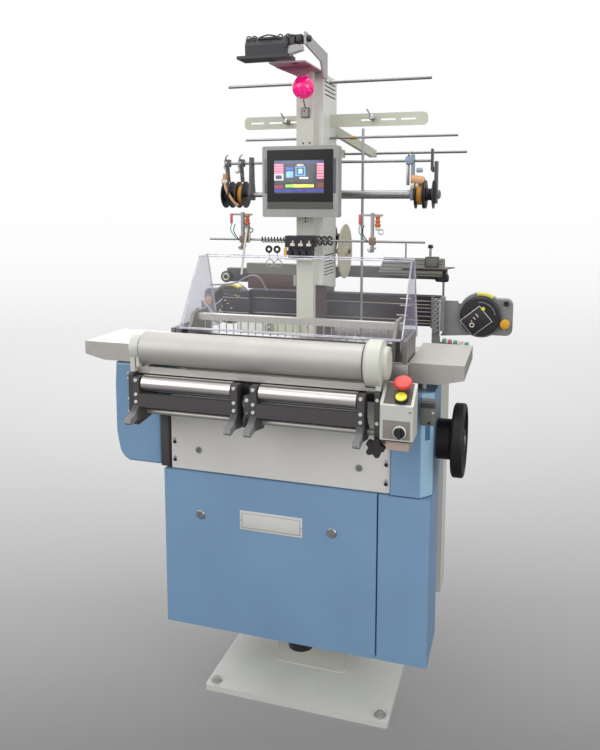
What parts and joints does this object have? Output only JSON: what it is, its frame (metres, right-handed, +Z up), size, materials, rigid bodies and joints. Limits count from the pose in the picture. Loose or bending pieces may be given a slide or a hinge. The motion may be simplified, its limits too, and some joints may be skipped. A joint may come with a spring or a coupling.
{
  "type": "needle loom",
  "caption": "Narrow-fabric needle loom on a pedestal, with take-down rollers, clear guard, handwheel, yarn creel column, weft feeders and touch screen.",
  "frame": {"origin": "on the floor, under the middle of the foot plate", "axes": "+X along the rollers to the operator's right, +Y to the rear, +Z up"},
  "size_m": [1.073, 1.004, 1.732],
  "materials": {
    "cream_paint": "smooth cream enamel",
    "blue_paint": "smooth light blue enamel",
    "white_paint": "smooth white enamel",
    "dark_brown": "dark brown enamel",
    "stainless": "brushed",
    "roller_metal": "satin, finely turned",
    "chrome": "polished",
    "blackened_steel": "blackened, satin",
    "black_aluminium": "black anodised",
    "steel": "ground steel",
    "cast_grey": "grey painted casting",
    "grey_aluminium": "brushed",
    "dark_rubber": "matt",
    "black_plastic": "satin",
    "grey_plastic": "fine texture",
    "screen_glass": "glossy",
    "red_plastic": "glossy",
    "yellow_plastic": "glossy",
    "pink_lens": "glossy, lit",
    "clear_acrylic": "clear",
    "guide_brass": "satin",
    "bobbin_plastic": "satin",
    "cream_plastic": "satin"
  },
  "bodies": {
    "frame": {"pedestal": "cream_paint", "front_cabinet": "blue_paint", "rear_cabinet": "cream_paint", "drive_motor": "cast_grey", "drive_belt": "dark_rubber", "machine_bed": "cream_paint", "front_plate": "cream_paint", "left_end_case": "blue_paint", "right_gear_cover": "blue_paint", "left_tray": "stainless", "right_tray": "stainless", "left_side_plate": "blackened_steel", "right_side_plate": "blackened_steel", "left_roller_bracket": "white_paint", "right_roller_bracket": "white_paint", "guide_bar": "stainless", "nip_rod": "stainless", "control_box": "grey_aluminium", "needle_bed": "cast_grey", "column_front": "cream_paint", "column_box": "cream_paint", "column_core": "dark_brown", "rear_rack": "cream_paint", "cross_beam": "black_aluminium", "thread_rods": "stainless", "slotted_bars": "cream_paint", "bobbin_brackets": "blackened_steel", "stop_motion": "black_plastic", "right_feeder_body": "grey_plastic", "left_feeder_body": "grey_plastic", "screen_housing": "grey_plastic", "touch_screen": "screen_glass", "lamp_arm": "grey_aluminium", "signal_lamp": "pink_lens"},
    "main_shaft": {"main_shaft": "steel", "handwheel": "blackened_steel"},
    "motor_shaft": {"motor_pulley": "steel"},
    "front_panel": {"front_panel": "blue_paint"},
    "side_door": {"side_door": "blue_paint"},
    "left_lock": {"left_lock": "steel"},
    "right_lock": {"right_lock": "steel"},
    "takedown_roller": {"takedown_roller": "roller_metal"},
    "draw_roller": {"draw_roller": "dark_rubber"},
    "left_nip_roll": {"left_nip_roll": "chrome"},
    "right_nip_roll": {"right_nip_roll": "chrome"},
    "left_nip_frame": {"left_nip_frame": "blackened_steel"},
    "right_nip_frame": {"right_nip_frame": "blackened_steel"},
    "estop_button": {"estop_button": "red_plastic"},
    "start_button": {"start_button": "yellow_plastic"},
    "selector_switch": {"selector_switch": "black_plastic"},
    "clamp_knob": {"clamp_knob": "black_plastic"},
    "guard": {"guard": "clear_acrylic"},
    "needle_bar": {"needle_bar": "steel"},
    "thread_guide_bar": {"thread_guide_bar": "guide_brass"},
    "lamp_head": {"lamp_head": "blackened_steel"},
    "left_bobbins": {"left_bobbins": "bobbin_plastic"},
    "right_bobbins": {"right_bobbins": "bobbin_plastic"},
    "feed_disc": {"feed_disc": "cream_plastic"},
    "right_feeder_disc": {"right_feeder_disc": "black_plastic"},
    "left_feeder_disc": {"left_feeder_disc": "black_plastic"}
  },
  "joints": [
    {"name": "panel_tip", "type": "hinge", "parent": "frame", "child": "front_panel", "pos_m": [0, -0.262, 0.187], "axis": [1, 0, 0], "range_deg": [0, 80]},
    {"name": "left_lock_turn", "type": "hinge", "parent": "front_panel", "child": "left_lock", "pos_m": [-0.244, -0.27, 0.49], "axis": [0, -1, 0], "range_deg": [0, 90]},
    {"name": "right_lock_turn", "type": "hinge", "parent": "front_panel", "child": "right_lock", "pos_m": [0.102, -0.27, 0.49], "axis": [0, -1, 0], "range_deg": [0, 90]},
    {"name": "door_swing", "type": "hinge", "parent": "frame", "child": "side_door", "pos_m": [0.331, -0.262, 0.392], "axis": [0, 0, 1], "range_deg": [0, 100]},
    {"name": "shaft_spin", "type": "hinge", "parent": "frame", "child": "main_shaft", "pos_m": [0.3, -0.18, 0.722], "axis": [1, 0, 0], "continuous": true},
    {"name": "motor_spin", "type": "hinge", "parent": "frame", "child": "motor_shaft", "pos_m": [0.274, -0.18, 0.29], "axis": [1, 0, 0], "continuous": true},
    {"name": "takedown_spin", "type": "hinge", "parent": "frame", "child": "takedown_roller", "pos_m": [0, -0.34, 0.932], "axis": [1, 0, 0], "continuous": true},
    {"name": "draw_spin", "type": "hinge", "parent": "frame", "child": "draw_roller", "pos_m": [0, -0.315, 0.846], "axis": [1, 0, 0], "continuous": true},
    {"name": "left_frame_tip", "type": "hinge", "parent": "frame", "child": "left_nip_frame", "pos_m": [-0.226, -0.345, 0.776], "axis": [1, 0, 0], "range_deg": [0, 35]},
    {"name": "right_frame_tip", "type": "hinge", "parent": "frame", "child": "right_nip_frame", "pos_m": [0.072, -0.345, 0.776], "axis": [1, 0, 0], "range_deg": [0, 35]},
    {"name": "left_nip_spin", "type": "hinge", "parent": "left_nip_frame", "child": "left_nip_roll", "pos_m": [-0.226, -0.366, 0.851], "axis": [1, 0, 0], "continuous": true},
    {"name": "right_nip_spin", "type": "hinge", "parent": "right_nip_frame", "child": "right_nip_roll", "pos_m": [0.072, -0.366, 0.851], "axis": [1, 0, 0], "continuous": true},
    {"name": "estop_push", "type": "slide", "parent": "frame", "child": "estop_button", "axis": [0, 0.5249, -0.8512], "range_m": [0, 0.004]},
    {"name": "start_push", "type": "slide", "parent": "frame", "child": "start_button", "axis": [0, 0.5249, -0.8512], "range_m": [0, 0.003], "stiffness_N_per_m": 300},
    {"name": "selector_turn", "type": "hinge", "parent": "frame", "child": "selector_switch", "pos_m": [0.284, -0.4, 0.8], "axis": [0, -1, 0], "range_deg": [-45, 45]},
    {"name": "knob_turn", "type": "hinge", "parent": "frame", "child": "clamp_knob", "pos_m": [0.23, -0.3815, 0.757], "axis": [0, -1, 0], "range_deg": [0, 180]},
    {"name": "guard_tip", "type": "hinge", "parent": "frame", "child": "guard", "pos_m": [-0.024, -0.246, 0.958], "axis": [1, 0, 0], "range_deg": [0, 100]},
    {"name": "needle_stroke", "type": "slide", "parent": "frame", "child": "needle_bar", "axis": [0, -1, 0], "range_m": [0, 0.015]},
    {"name": "guide_shift", "type": "slide", "parent": "frame", "child": "thread_guide_bar", "axis": [1, 0, 0], "range_m": [-0.004, 0.004]},
    {"name": "lamp_tilt", "type": "hinge", "parent": "frame", "child": "lamp_head", "pos_m": [-0.09, 0.044, 1.716], "axis": [1, 0, 0], "range_deg": [-10, 10]},
    {"name": "left_bobbin_spin", "type": "hinge", "parent": "frame", "child": "left_bobbins", "pos_m": [-0.373, 0.3, 1.303], "axis": [1, 0, 0], "continuous": true},
    {"name": "right_bobbin_spin", "type": "hinge", "parent": "frame", "child": "right_bobbins", "pos_m": [0.23, 0.3, 1.303], "axis": [1, 0, 0], "continuous": true},
    {"name": "feed_disc_spin", "type": "hinge", "parent": "frame", "child": "feed_disc", "pos_m": [-0.046, 0.44, 1.119], "axis": [1, 0, 0], "continuous": true},
    {"name": "right_feeder_spin", "type": "hinge", "parent": "frame", "child": "right_feeder_disc", "pos_m": [0.397, 0.392, 0.933], "axis": [0, 1, 0], "continuous": true},
    {"name": "left_feeder_spin", "type": "hinge", "parent": "frame", "child": "left_feeder_disc", "pos_m": [-0.439, 0.392, 0.933], "axis": [0, 1, 0], "continuous": true}
  ],
  "couplings": [
    {"joint": "motor_spin", "follows": "shaft_spin", "ratio": 1.9541},
    {"joint": "draw_spin", "follows": "takedown_spin", "ratio": -1.2658},
    {"joint": "left_nip_spin", "follows": "takedown_spin", "ratio": 2.0833},
    {"joint": "right_nip_spin", "follows": "takedown_spin", "ratio": 2.0833}
  ]
}
